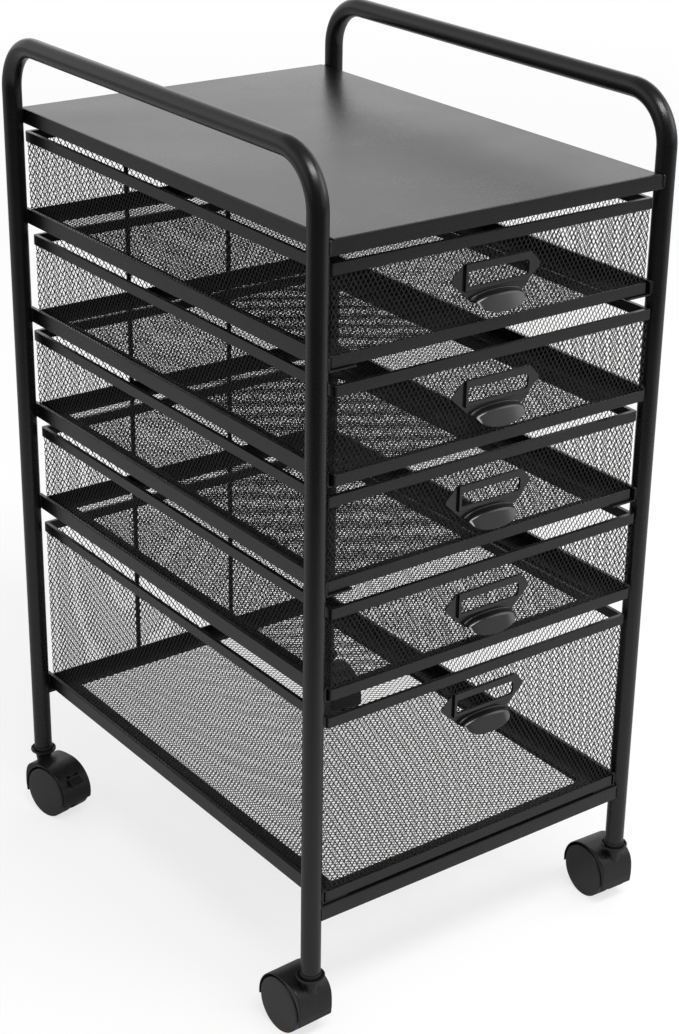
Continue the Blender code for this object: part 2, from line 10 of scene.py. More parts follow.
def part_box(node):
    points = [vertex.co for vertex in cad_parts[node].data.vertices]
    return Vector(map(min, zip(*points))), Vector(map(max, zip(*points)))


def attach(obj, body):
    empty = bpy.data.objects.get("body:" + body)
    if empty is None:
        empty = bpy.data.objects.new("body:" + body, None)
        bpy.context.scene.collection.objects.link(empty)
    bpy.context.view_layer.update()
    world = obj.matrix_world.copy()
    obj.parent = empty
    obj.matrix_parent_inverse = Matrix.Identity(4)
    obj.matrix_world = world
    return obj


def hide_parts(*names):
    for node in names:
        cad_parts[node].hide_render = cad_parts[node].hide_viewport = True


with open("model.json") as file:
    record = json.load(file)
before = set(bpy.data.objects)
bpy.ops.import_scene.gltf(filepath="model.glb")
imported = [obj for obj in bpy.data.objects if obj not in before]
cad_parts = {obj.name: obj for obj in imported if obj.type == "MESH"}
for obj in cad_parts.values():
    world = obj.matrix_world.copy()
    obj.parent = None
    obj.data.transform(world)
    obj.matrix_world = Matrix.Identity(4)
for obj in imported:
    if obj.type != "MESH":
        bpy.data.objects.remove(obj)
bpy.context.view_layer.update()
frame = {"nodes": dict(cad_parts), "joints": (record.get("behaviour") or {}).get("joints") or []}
scene = bpy.context.scene
joints = {joint["name"]: joint for joint in frame["joints"]}
drawers = (1, 2, 3, 4, 5)                      # counted from the top, the last one is deep
corners = ("front_left", "front_right", "rear_left", "rear_right")


# Camera at the photograph's viewing angle, for an image of 679 x 1034.
view = {
    "place": (-0.9179, -1.26306, 1.01674),
    "turn": 38.0276,                           # degrees to the right of +Y
    "tilt": 23.7487,                           # degrees down
    "roll": 1.4735,
    "focalPixels": 2157.33,
    "centre": (392.506, 494.284),              # where the lens axis meets the image
    "image": (679, 1034),
    "sensor": 36.0,
    "clipStart": 0.05,
}


def setCamera():
    data = bpy.data.cameras.new("camera")
    camera = bpy.data.objects.new("camera", data)
    scene.collection.objects.link(camera)
    turn, tilt, roll = (math.radians(view[k]) for k in ("turn", "tilt", "roll"))
    ahead = Vector((math.cos(tilt) * math.sin(turn), math.cos(tilt) * math.cos(turn), -math.sin(tilt)))
    right = Vector((math.cos(turn), -math.sin(turn), 0))
    up = right.cross(ahead)
    across = math.cos(roll) * right + math.sin(roll) * up
    above = math.cos(roll) * up - math.sin(roll) * right
    facing = Matrix((across, above, -ahead)).transposed().to_4x4()
    camera.matrix_world = Matrix.Translation(view["place"]) @ facing
    wide, high = view["image"]
    data.sensor_width = view["sensor"]
    data.lens = view["focalPixels"] / high * data.sensor_width
    data.shift_x = (wide / 2 - view["centre"][0]) / high
    data.shift_y = (view["centre"][1] - high / 2) / high
    data.clip_start = view["clipStart"]
    scene.camera = camera


setCamera()


# Node helpers. What is fed to a socket is a plain number or another node's output.
def feed(links, value, socket):
    if isinstance(value, (int, float)):
        socket.default_value = value
    else:
        links.new(value, socket)


def ranged(nodes, links, value, low, high, start, end, kind="LINEAR"):
    node = nodes.new("ShaderNodeMapRange")
    node.interpolation_type = kind
    links.new(value, node.inputs["Value"])
    for key, source in (("From Min", low), ("From Max", high), ("To Min", start), ("To Max", end)):
        feed(links, source, node.inputs[key])
    return node.outputs["Result"]


def times(nodes, links, first, second):
    node = nodes.new("ShaderNodeMath")
    node.operation = "MULTIPLY"
    feed(links, first, node.inputs[0])
    feed(links, second, node.inputs[1])
    return node.outputs[0]


def choose(nodes, links, ray, without, within):
    node = nodes.new("ShaderNodeMix")
    links.new(nodes.new("ShaderNodeLightPath").outputs[ray], node.inputs["Factor"])
    feed(links, without, node.inputs["A"])
    feed(links, within, node.inputs["B"])
    return node.outputs["Result"]


# Studio: white floor and backdrop, a dim room behind the camera that the gloss reflects, painted shade on the
# floor where the gloss sees it, soft lamps.
studio = {
    "floorHalf": 30.0,
    "floorColour": 0.70,
    "floorGlow": 0.72,                         # share of the floor's white that no shadow darkens
    "floorFade": (0.9, 3.5),                   # metres from the cart over which that share grows to all
    "skyFill": 0.62,
    "roomLevels": (0.06, 0.84),                # light left behind the camera, and all round
    "roomEnds": (-0.85, -0.40),                # where it dims, as a heading's share along the view
    "floorEnds": (-1.35, -0.40),               # and the floor's painted shade, in metres from the cart along the view
    "ceiling": (0.36, 0.78, 0.32),             # rise at which the room starts and ends dimming, share left
    "lamps": {                                 # place, width, depth, power
        "key": ((-0.1, -1.3, 2.45), 1.8, 0.6, 42.0),
        "side": ((1.7, -1.1, 1.5), 1.2, 1.2, 9.0),
        "back": ((1.13, 1.55, 1.15), 1.8, 0.9, 2.6),
    },
    "aim": (0.0, 0.0, 0.35),
}


# What a mirror sees: dim where the place or heading lies far towards the camera, full light elsewhere. On the
# floor this is painted shade in the floor's colour.
def roomLight(nodes, links, place, ends):
    along = nodes.new("ShaderNodeVectorMath")
    along.operation = "DOT_PRODUCT"
    turn = math.radians(view["turn"])
    along.inputs[1].default_value = (math.sin(turn), math.cos(turn), 0)
    links.new(place, along.inputs[0])
    return ranged(nodes, links, along.outputs["Value"], *ends, *studio["roomLevels"], "SMOOTHSTEP")


def setWorld():
    world = bpy.data.worlds.new("studio")
    world.use_nodes = True
    scene.world = world
    nodes, links = world.node_tree.nodes, world.node_tree.links
    nodes.clear()
    out, sky = nodes.new("ShaderNodeOutputWorld"), nodes.new("ShaderNodeBackground")
    heading = nodes.new("ShaderNodeTexCoord").outputs["Generated"]
    rise = nodes.new("ShaderNodeSeparateXYZ")
    links.new(heading, rise.inputs[0])
    start, end, left = studio["ceiling"]
    ceiling = ranged(nodes, links, rise.outputs["Z"], start, end, 1.0, left)
    dimmed = times(nodes, links, roomLight(nodes, links, heading, studio["roomEnds"]), ceiling)
    mirrored = choose(nodes, links, "Is Glossy Ray", studio["skyFill"], dimmed)
    sky.inputs["Color"].default_value = (1, 1, 1, 1)
    links.new(choose(nodes, links, "Is Camera Ray", mirrored, 1.0), sky.inputs["Strength"])
    links.new(sky.outputs[0], out.inputs["Surface"])


def setFloor():
    half = studio["floorHalf"]
    mesh = bpy.data.meshes.new("floor")
    outline = [(-half, -half, 0), (half, -half, 0), (half, half, 0), (-half, half, 0)]
    mesh.from_pydata(outline, [], [(0, 1, 2, 3)])
    floor = bpy.data.objects.new("floor", mesh)
    scene.collection.objects.link(floor)
    mat = bpy.data.materials.new("floorPaint")
    mat.use_nodes = True
    nodes, links = mat.node_tree.nodes, mat.node_tree.links
    nodes.clear()
    out, both = nodes.new("ShaderNodeOutputMaterial"), nodes.new("ShaderNodeAddShader")
    paint, glow = nodes.new("ShaderNodeBsdfDiffuse"), nodes.new("ShaderNodeEmission")
    place = nodes.new("ShaderNodeNewGeometry").outputs["Position"]
    # Painted shade: reflections see the floor's colour darkened towards the camera, standing for the dim room
    # there.
    room = roomLight(nodes, links, place, studio["floorEnds"])
    dimmed = times(nodes, links, room, studio["floorColour"])
    mirrored = choose(nodes, links, "Is Glossy Ray", studio["floorColour"], dimmed)
    away = nodes.new("ShaderNodeVectorMath")
    away.operation = "LENGTH"
    links.new(place, away.inputs[0])
    white, fade = studio["floorGlow"], studio["floorFade"]
    share = ranged(nodes, links, away.outputs["Value"], *fade, white, 1.0)
    rest = ranged(nodes, links, away.outputs["Value"], *fade, 1.0 - white, 0.0)
    links.new(choose(nodes, links, "Is Camera Ray", mirrored, rest), paint.inputs["Color"])
    links.new(choose(nodes, links, "Is Camera Ray", 0.0, share), glow.inputs["Strength"])
    links.new(paint.outputs[0], both.inputs[0])
    links.new(glow.outputs[0], both.inputs[1])
    links.new(both.outputs[0], out.inputs["Surface"])
    mesh.materials.append(mat)


def setLamps():
    for name, (place, width, depth, power) in studio["lamps"].items():
        data = bpy.data.lights.new(name + "Lamp", "AREA")
        data.shape = "RECTANGLE"
        data.size, data.size_y = width, depth
        data.energy = power
        lamp = bpy.data.objects.new(name + "Lamp", data)
        scene.collection.objects.link(lamp)
        lamp.location = place
        lamp.rotation_euler = (Vector(studio["aim"]) - Vector(place)).to_track_quat("-Z", "Y").to_euler()
        lamp.visible_camera = False


setWorld()
setFloor()
setLamps()
scene.view_settings.view_transform = "Standard"
print("studio: camera, floor, world and", len(studio["lamps"]), "lamps")


# Shader groups shared by the finishes. Each takes a grain size, two tones and two roughnesses.
def newGroup(name, grain):
    group = bpy.data.node_groups.new(name, "ShaderNodeTree")
    taken = ((grain, "Float"), ("Dark", "Color"), ("Light", "Color"),
             ("Rough Low", "Float"), ("Rough High", "Float"))
    given = (("Colour", "Color"), ("Roughness", "Float"), ("Height", "Float"))
    for way, sockets in (("INPUT", taken), ("OUTPUT", given)):
        for label, kind in sockets:
            group.interface.new_socket(name=label, in_out=way, socket_type="NodeSocket" + kind)
    nodes = group.nodes
    return group, nodes, group.links, nodes.new("NodeGroupInput"), nodes.new("NodeGroupOutput")


def noiseAt(nodes, links, place, scale, detail, roughness=0.5):
    cloud = nodes.new("ShaderNodeTexNoise")
    cloud.inputs["Detail"].default_value = detail
    cloud.inputs["Roughness"].default_value = roughness
    links.new(place, cloud.inputs["Vector"])
    feed(links, scale, cloud.inputs["Scale"])
    return cloud.outputs["Fac"]


def blended(nodes, links, amount, first, second):
    node = nodes.new("ShaderNodeMix")
    node.data_type = "RGBA"
    links.new(amount, node.inputs["Factor"])
    links.new(first, node.inputs["A"])
    links.new(second, node.inputs["B"])
    return node.outputs["Result"]


def summed(nodes, links, first, second, share):
    node = nodes.new("ShaderNodeMath")
    node.operation = "MULTIPLY_ADD"
    links.new(second, node.inputs[0])
    node.inputs[1].default_value = share
    links.new(first, node.inputs[2])
    return node.outputs[0]


# Tone and sheen each follow a mix of noises, between the two levels given with it.
def putOut(nodes, links, given, made, tint, sheen):
    value, low, high = tint
    mix = ranged(nodes, links, value, low, high, 0.0, 1.0)
    colour = blended(nodes, links, mix, given.outputs["Dark"], given.outputs["Light"])
    links.new(colour, made.inputs["Colour"])
    value, low, high = sheen
    rough = ranged(nodes, links, value, low, high, given.outputs["Rough Low"], given.outputs["Rough High"])
    links.new(rough, made.inputs["Roughness"])


# Orange peel of baked powder: small soft bumps, a fine speckle, and slow drifts in sheen.
coat = {"speckSize": 5200.0, "driftSize": 9.0, "speckTint": 0.35, "peelSheen": 0.4, "speckHeight": 0.12}


def powderPeelGroup():
    group, nodes, links, given, made = newGroup("powderPeel", "Peel Scale")
    place = nodes.new("ShaderNodeTexCoord").outputs["Object"]
    peel = noiseAt(nodes, links, place, given.outputs["Peel Scale"], 2.0, 0.45)
    speck = noiseAt(nodes, links, place, coat["speckSize"], 1.0)
    drift = noiseAt(nodes, links, place, coat["driftSize"], 3.0)
    tint = summed(nodes, links, drift, speck, coat["speckTint"])
    worn = summed(nodes, links, drift, peel, coat["peelSheen"])
    putOut(nodes, links, given, made, (tint, 0.45, 0.9), (worn, 0.45, 0.95))
    links.new(summed(nodes, links, peel, speck, coat["speckHeight"]), made.inputs["Height"])
    return group


# Spark-eroded grain of a moulding, with the faint streaks that the melt leaves as it flows.
melt = {"streaks": (260.0, 260.0, 28.0), "grainTint": 0.3, "grainSheen": 0.5}


def mouldGrainGroup():
    group, nodes, links, given, made = newGroup("mouldGrain", "Grain Scale")
    place = nodes.new("ShaderNodeTexCoord").outputs["Object"]
    grain = noiseAt(nodes, links, place, given.outputs["Grain Scale"], 2.0)
    stretch = nodes.new("ShaderNodeMapping")
    stretch.inputs["Scale"].default_value = melt["streaks"]
    links.new(place, stretch.inputs["Vector"])
    flow = noiseAt(nodes, links, stretch.outputs[0], 1.0, 3.0)
    tint = summed(nodes, links, flow, grain, melt["grainTint"])
    worn = summed(nodes, links, flow, grain, melt["grainSheen"])
    putOut(nodes, links, given, made, (tint, 0.45, 0.9), (worn, 0.5, 1.0))
    links.new(grain, made.inputs["Height"])
    return group


powderPeel = powderPeelGroup()
mouldGrain = mouldGrainGroup()


def finish(name, group, scale, tones, rough, shine, bump, metallic=0.0):
    mat = bpy.data.materials.new(name)
    mat.use_nodes = True
    nodes, links = mat.node_tree.nodes, mat.node_tree.links
    surface = nodes["Principled BSDF"]
    surface.inputs["Specular IOR Level"].default_value = shine
    surface.inputs["Metallic"].default_value = metallic
    effect = nodes.new("ShaderNodeGroup")
    effect.node_tree = group
    effect.inputs[0].default_value = scale
    for key, tone in zip(("Dark", "Light"), tones):
        effect.inputs[key].default_value = (tone, tone, tone, 1)
    effect.inputs["Rough Low"].default_value, effect.inputs["Rough High"].default_value = rough
    links.new(effect.outputs["Colour"], surface.inputs["Base Color"])
    links.new(effect.outputs["Roughness"], surface.inputs["Roughness"])
    relief = nodes.new("ShaderNodeBump")
    relief.inputs["Strength"].default_value = bump[0]
    relief.inputs["Distance"].default_value = bump[1]
    links.new(effect.outputs["Height"], relief.inputs["Height"])
    links.new(relief.outputs["Normal"], surface.inputs["Normal"])
    return mat


# Grain size, dark and light tone, lowest and highest roughness, shine, bump strength and depth.
satinBlack = finish("satinBlack", powderPeel, 850.0, (0.0035, 0.0055), (0.24, 0.32), 0.46, (0.22, 0.00012))
meshBlack = finish("meshBlack", powderPeel, 1500.0, (0.0130, 0.0190), (0.48, 0.60), 0.14, (0.15, 0.00005))
pullBlack = finish("pullBlack", powderPeel, 1300.0, (0.0045, 0.0070), (0.17, 0.24), 0.56, (0.12, 0.00005))
weldBlack = finish("weldBlack", powderPeel, 2200.0, (0.0075, 0.0120), (0.22, 0.34), 0.34, (0.30, 0.00010))
hoodBlack = finish("hoodBlack", mouldGrain, 3000.0, (0.0075, 0.0105), (0.30, 0.42), 0.34, (0.14, 0.00006))
wheelGrey = finish("wheelGrey", mouldGrain, 2400.0, (0.0170, 0.0220), (0.38, 0.50), 0.38, (0.14, 0.00005))
zincBright = finish("zincBright", mouldGrain, 1800.0, (0.52, 0.60), (0.24, 0.36), 0.50, (0.08, 0.00004), 1.0)
print("finishes: powder coat, mesh, pull, weld, hood, wheel and zinc")


# Tools for making meshes.
def addSkin(bm, rings, endless=False):
    rows = [[bm.verts.new(p) for p in ring] for ring in rings]
    pairs = list(zip(rows, rows[1:]))
    if endless:
        pairs.append((rows[-1], rows[0]))
    for first, second in pairs:
        count = len(first)
        for i in range(count):
            j = (i + 1) % count
            bm.faces.new((first[i], first[j], second[j], second[i]))
    if not endless:
        bm.faces.new(rows[0][::-1])
        bm.faces.new(rows[-1])


def tidied(bm, merge=0.00001):
    bmesh.ops.remove_doubles(bm, verts=bm.verts, dist=merge)
    bmesh.ops.dissolve_degenerate(bm, edges=bm.edges, dist=merge)
    bmesh.ops.recalc_face_normals(bm, faces=bm.faces)
    return bm


def looseObject(name, bm):
    mesh = bpy.data.meshes.new(name)
    bm.to_mesh(mesh)
    bm.free()
    ob = bpy.data.objects.new(name, mesh)
    scene.collection.objects.link(ob)
    return ob


def settled(ob):
    bpy.context.view_layer.update()
    evaluated = ob.evaluated_get(bpy.context.evaluated_depsgraph_get())
    old, ob.data = ob.data, bpy.data.meshes.new_from_object(evaluated)
    ob.data.name = ob.name
    ob.modifiers.clear()
    bpy.data.meshes.remove(old)
    return ob


def carved(ob, tools, operation="DIFFERENCE"):
    for tool in tools:
        modifier = ob.modifiers.new("carve", "BOOLEAN")
        modifier.operation = operation
        modifier.solver = "EXACT"
        modifier.object = tool
    settled(ob)
    for tool in tools:
        mesh = tool.data
        bpy.data.objects.remove(tool, do_unlink=True)
        bpy.data.meshes.remove(mesh)
    return ob


def dressPiece(ob, mat, body, stands=(), sharp=40.0, even=False):
    ob.data.materials.clear()
    ob.data.materials.append(mat)
    ob.data.shade_smooth()
    ob.data.set_sharp_from_angle(angle=math.radians(sharp))
    if even:
        ob.modifiers.new("evenNormals", "WEIGHTED_NORMAL").keep_sharp = True
    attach(ob, body)
    if stands:
        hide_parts(*stands)
    return ob


def arcPoints(centre, radius, start, end, steps):
    angles = [math.radians(start + (end - start) * i / steps) for i in range(steps + 1)]
    return [(centre[0] + radius * math.cos(a), centre[1] + radius * math.sin(a)) for a in angles]


# Rounds each corner of a run of 2-D points that has a radius.
def filleted(points, radii, steps=4, closed=False):
    made = []
    count = len(points)
    for i, (point, radius) in enumerate(zip(points, radii)):
        if not radius or (not closed and i in (0, count - 1)):
            made.append(point)
            continue
        here = Vector(point)
        back, ahead = Vector(points[i - 1]) - here, Vector(points[(i + 1) % count]) - here
        half = back.angle(ahead) / 2
        reach = min(radius / math.tan(half), 0.49 * back.length, 0.49 * ahead.length)
        start, end = here + reach * back.normalized(), here + reach * ahead.normalized()
        for k in range(steps + 1):
            t = k / steps
            made.append(tuple((1 - t) ** 2 * start + 2 * t * (1 - t) * here + t ** 2 * end))
    return made


def turned(bm, profile, sides, endless=False):
    angles = [2 * math.pi * i / sides for i in range(sides)]
    rings = [[(r * math.cos(a), r * math.sin(a), z) for a in angles] for r, z in profile]
    addSkin(bm, rings, endless)
    return tidied(bm)


# Joins coplanar facets and eases the sharp edges, or only those whose ends are chosen.
def easeEdges(bm, radius, steps, sharp, chosen=None):
    tidied(bm)
    bmesh.ops.dissolve_limit(bm, angle_limit=math.radians(1.0), verts=bm.verts, edges=bm.edges)
    edges = [e for e in bm.edges if len(e.link_faces) == 2 and e.calc_face_angle() > math.radians(sharp)]
    if chosen:
        edges = [e for e in edges if all(chosen(v.co) for v in e.verts)]
    bmesh.ops.bevel(bm, geom=edges, offset=radius, segments=steps, affect="EDGES", profile=0.5,
                    clamp_overlap=True)


# Copies a node's solid with its edges eased, and stands for the node.
def easedNode(node, name, mat, body, radius):
    bm = bmesh.new()
    bm.from_mesh(frame["nodes"][node].data)
    easeEdges(bm, radius, 2, 38.0)
    return dressPiece(looseObject(name, bm), mat, body, (node,), sharp=46.0, even=True)


# Side frames: one bent tube each, with the open ends standing in the casters' collars.
sideTube = {"bendRadius": 0.037, "wall": 0.0012, "bendSteps": 20, "sides": 40}


def sideFrame(label):
    low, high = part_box(f"{label}_side_frame")
    radius = (high.x - low.x) / 2
    middleX, legY, barZ = (low.x + high.x) / 2, high.y - radius, high.z - radius
    bend = sideTube["bendRadius"]
    path = [(Vector((middleX, -legY, low.z)), Vector((0, 0, 1)))]
    for side in (-1, 1):
        centre = Vector((middleX, side * (legY - bend), barZ - bend))
        for i in range(sideTube["bendSteps"] + 1):
            t = math.pi / 2 * i / sideTube["bendSteps"]
            t = t if side < 0 else math.pi / 2 - t
            out = Vector((0, side * math.cos(t), math.sin(t)))
            path.append((centre + bend * out, Vector((0, math.sin(t), -side * math.cos(t)))))
    path.append((Vector((middleX, legY, low.z)), Vector((0, 0, -1))))
    across = Vector((1, 0, 0))

    def ring(point, heading, r):
        up = across.cross(heading)
        angles = [2 * math.pi * i / sideTube["sides"] for i in range(sideTube["sides"])]
        return [point + r * (math.cos(a) * across + math.sin(a) * up) for a in angles]

    bm = bmesh.new()
    outer = [ring(point, heading, radius) for point, heading in path]
    inner = [ring(point, heading, radius - sideTube["wall"]) for point, heading in reversed(path)]
    addSkin(bm, outer + inner, endless=True)
    tube = looseObject(f"{label}_bent_tube", tidied(bm))
    dressPiece(tube, satinBlack, "cart_frame", (f"{label}_side_frame",))
    return middleX, legY, radius


legs = [sideFrame(label) for label in ("left", "right")]
legX, legY, tubeR = legs[1]
print("side frames: two bent tubes")


# Folded and drawn steel: each solid keeps its shape, with its edges eased as rolled sheet has them.
sheetEdges = {"plate": 0.00035, "bar": 0.0006, "rod": 0.0003, "runner": 0.0003, "strip": 0.00028}


def sheetPiece(node, name, edge, body="cart_frame"):
    easedNode(node, name, satinBlack, body, sheetEdges[edge])


sheetPiece("top_plate", "top_plate_sheet", "plate")
for end in ("front", "rear"):
    sheetPiece(f"{end}_bottom_bar", f"{end}_cross_bar", "bar")
for label in ("left", "right"):
    sheetPiece(f"{label}_back_rod", f"{label}_stop_rod", "rod")
    for k in drawers:
        sheetPiece(f"runner_{k}_{label}", f"runner_{k}_{label}_channel", "runner")
for k in drawers:
    for part in ("base", "rim"):
        sheetPiece(f"drawer_{k}_{part}", f"drawer_{k}_{part}_strip", "strip", f"drawer_{k}")
print("sheet steel: plate, bars, rods, runners and drawer strips")


# Expanded metal: diamonds that stand upright in the walls, rolled flatter there than in the floor.
diamond = {"short": 0.00395, "long": 0.00660, "knuckle": 0.0007, "drift": 0.00045, "wander": 0.021,
           "seed": 7, "sheetStep": 3.7, "seam": 0.00002, "sliver": 1e-7}
wallStrand = {"width": 0.00090, "ridge": 0.00020}
floorStrand = {"width": 0.00072, "ridge": 0.00047}


# One sheet in (u, v, n): u along the short way, v along the long way, n up from the sheet's middle.
def diamondSheet(wide, high, pitch, strand):
    stepU, stepV = pitch / 2, diamond["long"] / 2
    countU, countV = round(wide / stepU), math.ceil(high / stepV) + 1
    slope = math.hypot(stepU, stepV)
    inU = stepU - strand["width"] / 2 * slope / stepV
    inV = stepV - strand["width"] / 2 * slope / stepU
    flat = diamond["knuckle"] / 2
    top, under = strand["ridge"] / 2, -strand["ridge"] / 2
    verts, faces, shared = [], [], {}

    def knot(i, j):
        if (i, j) not in shared:
            shared[i, j] = len(verts)
            verts.append((i * stepU, j * stepV, top))
        return shared[i, j]

    for i in range(0, countU + 1):
        for j in range(1 - i % 2, countV + 1, 2):
            west, east, south, north = knot(i - 1, j), knot(i + 1, j), knot(i, j - 1), knot(i, j + 1)
            first = len(verts)
            u, v = i * stepU, j * stepV
            verts += [(u, v + inV, under), (u + inU, v + flat, under), (u + inU, v - flat, under),
                      (u, v - inV, under), (u - inU, v - flat, under), (u - inU, v + flat, under)]
            up, rightUp, rightLow, low, leftLow, leftUp = range(first, first + 6)
            faces += [(north, up, rightUp, east), (east, rightLow, low, south),
                      (south, low, leftLow, west), (west, leftUp, up, north),
                      (east, rightUp, rightLow), (west, leftLow, leftUp)]
    mesh = bpy.data.meshes.new("diamonds")
    mesh.from_pydata(verts, [], faces)
    bm = bmesh.new()
    bm.from_mesh(mesh)
    bpy.data.meshes.remove(mesh)
    return bm


# Slow wander of the diamonds, as slitting and stretching leave it.
def wandered(bm, sheet):
    layer = Vector((0, 0, diamond["sheetStep"] * sheet))
    for vert in bm.verts:
        place = Vector((vert.co.x, vert.co.y, 0)) / diamond["wander"]
        vert.co += diamond["drift"] * noise.noise_vector(place + layer).to_2d().to_3d()


def sliced(bm, axis, limit, side, clear):
    place, normal = Vector((0, 0, 0)), Vector((0, 0, 0))
    place[axis], normal[axis] = limit, side
    everything = bm.verts[:] + bm.edges[:] + bm.faces[:]
    bmesh.ops.bisect_plane(bm, geom=everything, plane_co=place, plane_no=normal, clear_outer=clear,
                           dist=diamond["sliver"])


def trimmed(bm, wide, high):
    for axis, size in ((0, wide), (1, high)):
        sliced(bm, axis, 0.0, -1, True)
        sliced(bm, axis, size, 1, True)


def meshBasket(k):
    node = f"drawer_{k}_basket"
    low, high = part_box(node)
    inset = floorStrand["ridge"] / 2
    low, high = low + Vector((inset, inset, inset)), high - Vector((inset, inset, 0))
    sizeX, sizeY = high.x - low.x, high.y - low.y
    turns = [sizeX, sizeX + sizeY, 2 * sizeX + sizeY, 2 * (sizeX + sizeY)]
    pitch = turns[-1] / round(turns[-1] / diamond["short"])
    walls = diamondSheet(turns[-1], high.z - low.z, pitch, wallStrand)
    wandered(walls, k)
    trimmed(walls, turns[-1], high.z - low.z)
    for place in turns[:-1]:                   # a row of points along each corner, to fold at
        sliced(walls, 0, place, 1, False)
    starts = [(low.x, low.y), (high.x, low.y), (high.x, high.y), (low.x, high.y)]
    headings = [(1, 0), (0, 1), (-1, 0), (0, -1)]
    for vert in walls.verts:
        u, v, n = vert.co
        side = next((i for i, turn in enumerate(turns) if u <= turn + 1e-6), 3)
        along = u - (turns[side - 1] if side else 0.0)
        hx, hy = headings[side]
        vert.co = (starts[side][0] + along * hx + n * hy, starts[side][1] + along * hy - n * hx, low.z + v)
    bmesh.ops.remove_doubles(walls, verts=walls.verts, dist=diamond["seam"])
    piece = dressPiece(looseObject(f"drawer_{k}_mesh_walls", walls), meshBlack, f"drawer_{k}",
                       (node,), sharp=80.0)
    pitch = sizeY / round(sizeY / diamond["short"])
    floor = diamondSheet(sizeY, sizeX, pitch, floorStrand)
    wandered(floor, -k)
    trimmed(floor, sizeY, sizeX)
    for vert in floor.verts:
        u, v, n = vert.co
        vert.co = (low.x + v, low.y + u, low.z + n)
    bmesh.ops.reverse_faces(floor, faces=floor.faces)
    dressPiece(looseObject(f"drawer_{k}_mesh_floor", floor), meshBlack, f"drawer_{k}",
               (node,), sharp=80.0)
    return len(piece.data.polygons)


noise.seed_set(diamond["seed"])                # unseeded, the wander would differ from run to run
for k in drawers:
    print("basket", k, "wall facets:", meshBasket(k))


# Pulls: a flat plate with a raised card frame, open at its left end, and a cup grip pressed out below.
# x runs across, z up from the middle of the window, and y = 0 on the back.
pull = {
    "leftTip": -0.0393, "rightTip": 0.0388, "tipHalf": 0.0012, "sheet": 0.0008, "bite": 0.0002,
    "shoulderLeft": -0.0288, "shoulderRight": 0.0300, "top": 0.0107,
    "frameLeft": -0.0284, "frameRight": 0.0287, "frameLow": -0.0089, "raise": 0.0028,
    "frameRound": 0.0030, "fold": 0.0010, "edge": 0.0003, "frameWall": 0.0009,
    "windowLeft": -0.0262, "windowRight": 0.0277, "windowHalf": 0.0054, "windowRound": 0.0036, "lap": 0.0006,
    "archX": 0.0226, "springZ": -0.0168, "arch": 0.0050, "fillet": 0.0008,
    "cupX": 0.0200, "cupOut": 0.0126, "cupDrop": 0.0075, "cupWall": 0.0011,
    "outFull": 0.22, "brow": 0.46, "browRound": 0.0040, "pinch": 0.03,
    "across": 56, "filletSteps": 4, "archSteps": 32,
    "windowDown": 0.0110,                      # from the solid's top edge to the middle of the window
    "through": 0.01,                           # reach of the window's cutter to either side
}


def slab(name, outline, start, end):
    bm = bmesh.new()
    addSkin(bm, [[(x, y, z) for x, z in outline] for y in (start, end)])
    return looseObject(name, tidied(bm))


def eased(ob, radius, steps=2, chosen=None):
    bm = bmesh.new()
    bm.from_mesh(ob.data)
    easeEdges(bm, radius, steps, 30.0, chosen)
    bm.to_mesh(ob.data)
    bm.free()
    return ob


def windowOutline(lap):
    p = pull
    left, right, half = p["windowLeft"] - lap, p["windowRight"] + lap, p["windowHalf"] + lap
    around = [(left, -half), (right, -half), (right, half), (left, half)]
    return filleted(around, [0, p["windowRound"], p["windowRound"], 0], 6, closed=True)


def windowTool(lap):
    return slab("windowTool", windowOutline(lap), -pull["through"], pull["through"])


def archPoint(u):
    return Vector((-pull["archX"] * math.cos(u), pull["springZ"] + pull["arch"] * math.sin(u)))


def pullPlate():
    p = pull
    outline = [(p["leftTip"], p["tipHalf"]), (p["shoulderLeft"], p["top"]), (p["shoulderRight"], p["top"]),
               (p["rightTip"], p["tipHalf"]), (p["rightTip"], -p["tipHalf"])]
    steps = p["archSteps"]
    outline += [tuple(archPoint(math.pi * (1 - i / steps))) for i in range(steps + 1)]
    outline.append((p["leftTip"], -p["tipHalf"]))
    plate = slab("plate", outline, 0.0, -p["sheet"])
    return eased(carved(plate, [windowTool(p["lap"])]), p["bite"])


def cardFrame():
    p = pull
    low, high = (p["frameLeft"], p["frameLow"]), (p["frameRight"], p["top"])
    outline = [low, (high[0], low[1]), high, (low[0], high[1])]
    outline = filleted(outline, [0, p["frameRound"], 0, 0], 6, closed=True)
    card = slab("cardFrame", outline, p["bite"] - p["sheet"], -p["raise"])

    def folded(co):
        return co.y < -0.9 * p["raise"] and (co.x > p["windowRight"] or co.z < -p["windowHalf"])

    eased(card, p["fold"], 4, folded)
    eased(carved(card, [windowTool(0.0)]), p["edge"])
    wall = p["frameWall"]
    left, right = low[0] - wall, p["windowRight"] + p["lap"]
    inside = [(left, low[1] + wall), (right, low[1] + wall), (right, high[1] - wall), (left, high[1] - wall)]
    return carved(card, [slab("insideTool", inside, 0.0, wall - p["raise"])])


# The cup's section from the plate to its lip: straight out to the brow, round it, and down the face.
def cupProfile(start, reach, top, low):
    brow = start + pull["brow"] * (reach - start)
    points = [(start, top), (brow, top), (reach, low)]
    straight = [(start + (brow - start) * i / 6, top) for i in range(1, 3)]
    turn = filleted(points, [0, pull["browRound"], 0], 12)
    return turn[:1] + straight + turn[1:]


